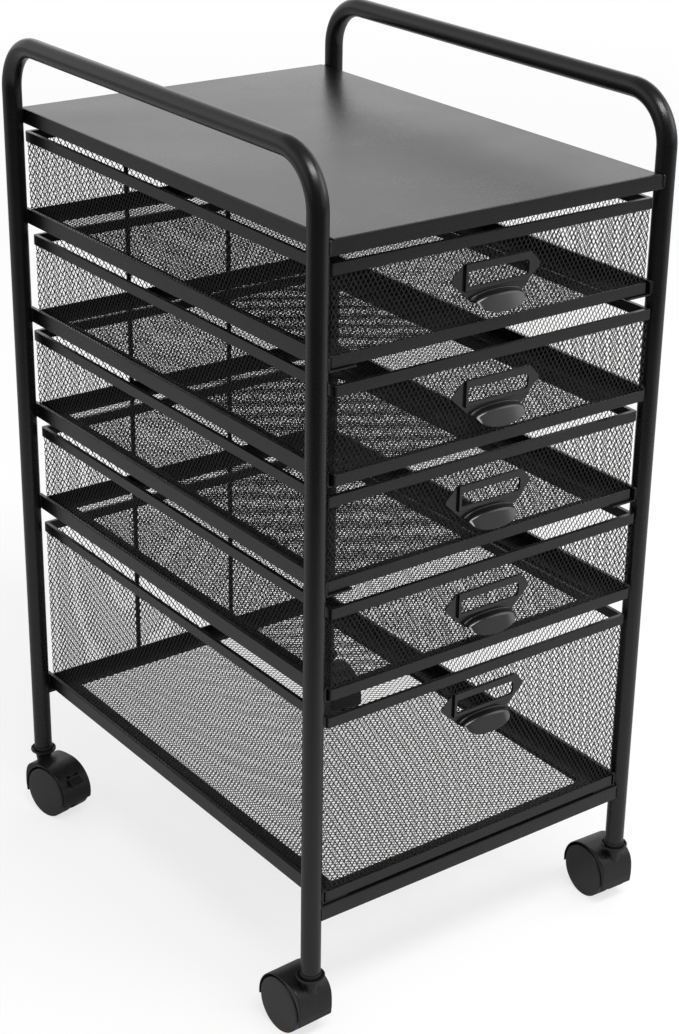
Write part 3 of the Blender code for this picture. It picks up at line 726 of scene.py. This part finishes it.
# One cut through the cup at angle u: off the plate in a hollow round, out, down the face, and back inside.
def cupCut(u):
    p = pull
    c, s = math.cos(u), math.sin(u)
    foot = archPoint(u)
    away = Vector((-c / p["archX"], s / p["arch"])).normalized()
    front = [(*(foot + p["fillet"] * away), p["bite"] - p["sheet"])]
    for i in range(p["filletSteps"] + 1):
        a = math.pi / 2 * i / p["filletSteps"]
        place = foot + p["fillet"] * (1 - math.sin(a)) * away
        front.append((*place, -p["sheet"] - p["fillet"] * (1 - math.cos(a))))
    start, reach = p["sheet"] + p["fillet"], p["cupOut"] * s ** p["outFull"]
    low, slant = p["springZ"] - p["cupDrop"] * s, (p["archX"] - p["cupX"]) * c
    for out, z in cupProfile(start, max(reach, start + p["cupWall"]), foot.y, low):
        share = (out - start) / (p["cupOut"] - start)
        front.append((foot.x + slant * share, z, -out))
    behind = []
    root, inside = p["sheet"] - p["bite"], max(reach - p["cupWall"], start)
    for out, z in cupProfile(root, inside, foot.y - p["cupWall"] * s, low):
        share = (out - p["sheet"]) / (p["cupOut"] - start)
        behind.append((foot.x * (1 - p["pinch"] * s) + slant * share, z, -out))
    return [(x, y, z) for x, z, y in front + behind[::-1]]


def pullMesh():
    bm = bmesh.new()
    addSkin(bm, [cupCut(math.pi * (i + 0.25) / (pull["across"] + 0.5)) for i in range(pull["across"] + 1)])
    cup = looseObject("cup", tidied(bm, 0.000002))
    holder = carved(pullPlate(), [cardFrame(), cup], "UNION")
    bm = bmesh.new()
    bm.from_mesh(holder.data)
    mesh = holder.data
    bpy.data.objects.remove(holder, do_unlink=True)
    bpy.data.meshes.remove(mesh)
    return bm


def placePulls():
    made = pullMesh()
    for k in drawers:
        node = f"drawer_{k}_pull"
        low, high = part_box(node)
        bm = made.copy()
        place = ((low.x + high.x) / 2, high.y, high.z - pull["windowDown"])
        bmesh.ops.translate(bm, verts=bm.verts, vec=place)
        dressPiece(looseObject(f"drawer_{k}_card_pull", bm), pullBlack, f"drawer_{k}",
                   (node,), sharp=44.0, even=True)
    made.free()


placePulls()
print("pulls:", len(drawers))


# Casters, each drawn with its stem on Z and its wheels behind, then turned and set under its leg.
caster = {
    "wheelR": 0.0220, "wheelIn": 0.0020, "wheelOut": 0.0165, "wheelEdge": 0.0012, "faceRise": 0.0007,
    "axleR": 0.0028, "axleEdge": 0.0003, "hubDeep": 0.0085, "treadEdge": 0.0012,
    "pocketR": 0.0238, "hoodR": 0.0248, "hoodHalf": 0.0152, "hoodEdge": 0.0006, "webHalf": 0.0015,
    "front": 0.0072, "full": 3.4, "tuck": 0.0008, "frontLow": 0.0068,
    "rearLow": {False: 0.0030, True: 0.0066},  # how far below the axle the back ends, plain and locking
    "neckR": 0.0066, "neckLow": 0.0004, "bossR": 0.0064, "bossTop": 0.0012,
    "bossFootR": 0.0046, "bossLow": 0.0330,
    "stemR": 0.0049, "stemTop": 0.0800, "collarZ": 0.0505,
    "voxel": 0.00034, "smoothing": 3, "sides": 72, "outlineSteps": 32, "edgeSteps": 4,
}


def hoodOutline(trail, shrink, rearLow):
    c = caster
    rise, front = c["hoodR"] - shrink, trail + c["front"] - shrink
    start = -math.asin(rearLow / rise)
    steps = c["outlineSteps"]
    points = []
    for i in range(steps + 1):
        t = start + (math.pi / 2 - start) * i / steps
        points.append((trail + rise * math.cos(t), c["wheelR"] + rise * math.sin(t)))
    for i in range(1, steps + 1):
        t = math.pi / 2 * i / steps
        y, z = math.sin(t) ** (2 / c["full"]), math.cos(t) ** (2 / c["full"])
        points.append((trail - front * y, c["wheelR"] + rise * z))
    points.append((trail - front + c["tuck"], c["wheelR"] - c["frontLow"]))
    return points


def discTool(name, trail, radius, start, end):
    bm = bmesh.new()
    angles = [2 * math.pi * i / caster["sides"] for i in range(caster["sides"])]
    ring = [(trail + radius * math.cos(a), caster["wheelR"] + radius * math.sin(a)) for a in angles]
    addSkin(bm, [[(x, y, z) for y, z in ring] for x in (start, end)])
    return looseObject(name, tidied(bm))


def notchTool(trail, at, width, half):
    c = caster
    inner, outer = c["pocketR"], c["hoodR"] + lever["notchOver"]
    outline = []
    for r, turn in ((inner, -1), (outer, -1), (outer, 1), (inner, 1)):
        t = math.radians(at + turn * width)
        outline.append((trail + r * math.cos(t), c["wheelR"] + r * math.sin(t)))
    bm = bmesh.new()
    addSkin(bm, [[(x, y, z) for y, z in outline] for x in (-half, half)])
    return looseObject("notchTool", tidied(bm))


def hoodMesh(trail, notch):
    c = caster
    bm = bmesh.new()
    half, edge, steps = c["hoodHalf"], c["hoodEdge"], c["edgeSteps"]
    stations = []
    for i in range(steps + 1):
        t = math.pi / 2 * i / steps
        stations.append((half - edge * (1 - math.cos(t)), edge * (1 - math.sin(t))))
    stations = [(-x, shrink) for x, shrink in stations] + [(x, shrink) for x, shrink in stations[::-1]]
    rearLow = c["rearLow"][bool(notch)]
    addSkin(bm, [[(x, y, z) for y, z in hoodOutline(trail, shrink, rearLow)] for x, shrink in stations])
    hood = looseObject("hood", tidied(bm))
    tools = [discTool("pocketTool", trail, c["pocketR"], s * c["webHalf"], s * 2 * half) for s in (-1, 1)]
    if notch:
        tools.append(notchTool(trail, *notch))
    crown = c["wheelR"] + c["hoodR"]
    profile = [(0, c["bossLow"]), (c["bossFootR"], c["bossLow"]), (c["bossR"], crown - c["bossTop"]),
               (c["neckR"], crown + c["neckLow"]), (c["neckR"], c["collarZ"]),
               (c["stemR"], c["collarZ"]), (c["stemR"], c["stemTop"]), (0, c["stemTop"])]
    post = looseObject("postTool", turned(bmesh.new(), profile, c["sides"]))
    carved(hood, [post], "UNION")
    carved(hood, tools)                        # last, so that the boss stays clear of the wheels
    grown = hood.modifiers.new("voxels", "REMESH")
    grown.mode = "VOXEL"
    grown.voxel_size = c["voxel"]
    smoothed = hood.modifiers.new("smoothed", "SMOOTH")
    smoothed.factor = 0.5
    smoothed.iterations = c["smoothing"]
    settled(hood)
    mesh = hood.data
    bpy.data.objects.remove(hood, do_unlink=True)
    return mesh


# Half a twin wheel, turned about X: bore, inner face, tread, rounded shoulder and domed outer face.
def wheelMesh(side):
    c = caster
    bore, start, out, rise = c["axleR"], c["wheelIn"], c["wheelOut"], c["faceRise"]
    rim, edge, bevel = c["wheelR"], c["wheelEdge"], c["treadEdge"]
    profile = [(0, start + c["hubDeep"]), (bore, start + c["hubDeep"]), (bore, start)]
    profile += [(rim - bevel, start), (rim, start + bevel)]
    profile += arcPoints((rim - edge, out - rise - edge), edge, 0, 84, 8)
    profile += [(rim * f, out - rise * f ** 2) for f in (0.80, 0.66, 0.52, 0.38, 0.24, 0.10)]
    profile += [(0, out)]
    bm = bmesh.new()
    turned(bm, profile, c["sides"])
    bmesh.ops.rotate(bm, verts=bm.verts, matrix=Matrix.Rotation(side * math.pi / 2, 3, "Y"))
    return bm


# The socket: a dish round the tube's end, a skirt that grips it, and a plain sleeve up inside the tube.
collar = {"floor": 0.0012, "rim": 0.0030, "seat": 0.0026, "lip": 0.0010, "flare": 0.0016,
          "skirt": 0.0006, "skirtTop": 0.0058, "slack": 0.0003, "sleeveIn": 0.0015, "sides": 56,
          "rounds": (0, 0.0006, 0.0008, 0.00035, 0.00035, 0.0004, 0.0004, 0.0003, 0, 0, 0, 0, 0)}


def socketMesh(corner):
    c = collar
    low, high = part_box(f"caster_{corner}_socket")
    radius, bore, inner = (high.x - low.x) / 2, caster["stemR"] + c["slack"], tubeR - c["sleeveIn"]
    floor, rim, seat, skirt = (low.z + c[k] for k in ("floor", "rim", "seat", "skirtTop"))
    lip, outer, grip = radius - c["lip"], tubeR + c["skirt"], tubeR + c["skirt"] / 6
    points = [(bore, low.z), (radius - c["flare"], low.z), (radius, floor), (radius, rim),
              (lip, rim), (lip, floor), (outer, floor), (outer, skirt), (grip, skirt), (grip, seat),
              (inner, seat), (inner, high.z), (bore, high.z)]
    bm = bmesh.new()
    turned(bm, filleted(points, c["rounds"], 3), c["sides"], endless=True)
    bmesh.ops.translate(bm, verts=bm.verts, vec=((low.x + high.x) / 2, (low.y + high.y) / 2, 0))
    return bm


# Lock levers: the hood is notched where each one sits, at an angle round the axle.
lever = {"at": 38.0, "notchAngle": 9.0, "notchHalf": 0.0067, "notchOver": 0.002, "edge": 0.0003}


def placeCasters():
    hoods = {}
    for corner in corners:
        locks = f"{corner}_lock" in joints
        leg = Vector(joints[f"{corner}_swivel"]["pos_m"]).to_2d()
        hub = Vector(joints[f"{corner}_roll_a"]["pos_m"])
        swing = hub.to_2d() - leg
        trail = swing.length
        place = Matrix.Translation((leg.x, leg.y, 0)) @ Matrix.Rotation(math.atan2(-swing.x, swing.y), 4, "Z")
        if locks not in hoods:
            notch = (lever["at"], lever["notchAngle"], lever["notchHalf"]) if locks else None
            hoods[locks] = hoodMesh(trail, notch)
        mesh = hoods[locks].copy()
        mesh.transform(place)
        hood = bpy.data.objects.new(f"{corner}_caster_hood", mesh)
        scene.collection.objects.link(hood)
        dressPiece(hood, hoodBlack, f"{corner}_caster", (f"caster_{corner}_hood",),
                   sharp=60.0)
        for half, side in (("a", 1), ("b", -1)):
            bm = wheelMesh(side)
            bmesh.ops.transform(bm, matrix=place @ Matrix.Translation((0, trail, hub.z)), verts=bm.verts)
            dressPiece(looseObject(f"{corner}_tread_wheel_{half}", bm), wheelGrey, f"{corner}_wheel_{half}",
                       (f"caster_{corner}_wheel_{half}",), sharp=34.0)
        dressPiece(looseObject(f"{corner}_collar", socketMesh(corner)), hoodBlack, "cart_frame",
                   (f"caster_{corner}_socket",), sharp=34.0)
        easedNode(f"caster_{corner}_axle", f"{corner}_axle_pin", zincBright, f"{corner}_caster",
                  caster["axleEdge"])
        if locks:
            easedNode(f"caster_{corner}_lever", f"{corner}_lock_tab", hoodBlack, f"{corner}_lever",
                      lever["edge"])
    for mesh in hoods.values():
        bpy.data.meshes.remove(mesh)


placeCasters()
print("casters:", len(corners))


# Weld beads where the tabs, bars and runners meet the legs.
weld = {
    "radius": 0.0010, "ripple": 0.16, "pitch": 0.0016, "sides": 10, "seed": 7,
    "thinEnd": 0.15, "swell": 3.2, "swellCurve": 0.6, "uneven": 0.05, "stray": 0.08,
    "seat": 0.0056, "proud": 0.0001, "short": 0.0008,    # in from the leg's axis, out, and off each end
    "barTop": ((0.0074, 0.0016), (0.0078, 0.0100)), "barShare": 0.8,
    "railIn": 0.0004, "railApart": 0.0026, "railShort": 0.0012, "railShare": 0.85,
}
dice = random.Random(weld["seed"])


def addBead(bm, start, end, radius):
    start, end = Vector(start), Vector(end)
    heading = (end - start).normalized()
    side = heading.orthogonal().normalized()
    up = heading.cross(side)
    length = (end - start).length
    steps = max(6, round(length / weld["pitch"] * 4))
    phase = dice.uniform(0, 6.28)
    rings = []
    for i in range(steps + 1):
        t = i / steps
        taper = max(weld["thinEnd"], min(1.0, weld["swell"] * math.sin(math.pi * t)) ** weld["swellCurve"])
        wave = 1 + weld["ripple"] * math.sin(2 * math.pi * t * length / weld["pitch"] + phase)
        r = radius * taper * (wave + dice.uniform(-weld["uneven"], weld["uneven"]))
        shift = radius * dice.uniform(-weld["stray"], weld["stray"])
        centre = start + t * (end - start) + shift * side
        ring = []
        for j in range(weld["sides"]):
            a = 2 * math.pi * j / weld["sides"]
            ring.append(centre + r * (math.cos(a) * side + math.sin(a) * up))
        rings.append(ring)
    addSkin(bm, rings)


def upright(bm, x, y, low, high, short, radius):
    addBead(bm, (x, y, low + short), (x, y, high - short), radius)


def beadPiece(name, bm):
    dressPiece(looseObject(name, tidied(bm)), weldBlack, "cart_frame", sharp=70.0)


def placeWelds():
    w, radius = weld, weld["radius"]
    plateLow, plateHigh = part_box("top_plate")
    tabs = bmesh.new()
    for sx in (-1, 1):
        for sy in (-1, 1):
            x, y = sx * (legX - w["seat"]), sy * (plateHigh.y + w["proud"])
            upright(tabs, x, y, plateLow.z, plateHigh.z, w["short"], radius)
    beadPiece("plate_weld_beads", tabs)
    ends = bmesh.new()
    for node, sy in (("front_bottom_bar", -1), ("rear_bottom_bar", 1)):
        low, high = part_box(node)
        y = (low.y if sy < 0 else high.y) + sy * w["proud"]
        for sx in (-1, 1):
            upright(ends, sx * (legX - w["seat"]), y, low.z, high.z, w["short"], radius)
            top = [(sx * (legX - inX), y - sy * inY, high.z) for inX, inY in w["barTop"]]
            addBead(ends, *top, radius * w["barShare"])
    beadPiece("bar_weld_beads", ends)
    rails = bmesh.new()
    for label, sx in (("left", -1), ("right", 1)):
        for k in drawers:
            low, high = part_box(f"runner_{k}_{label}")
            for sy in (-1, 1):
                for nudge in (-1, 1):
                    x, y = sx * (legX - tubeR + w["railIn"]), sy * legY + nudge * w["railApart"]
                    upright(rails, x, y, low.z, high.z, w["railShort"], radius * w["railShare"])
    beadPiece("runner_weld_beads", rails)


placeWelds()
print("welds: tabs, bars and runners")
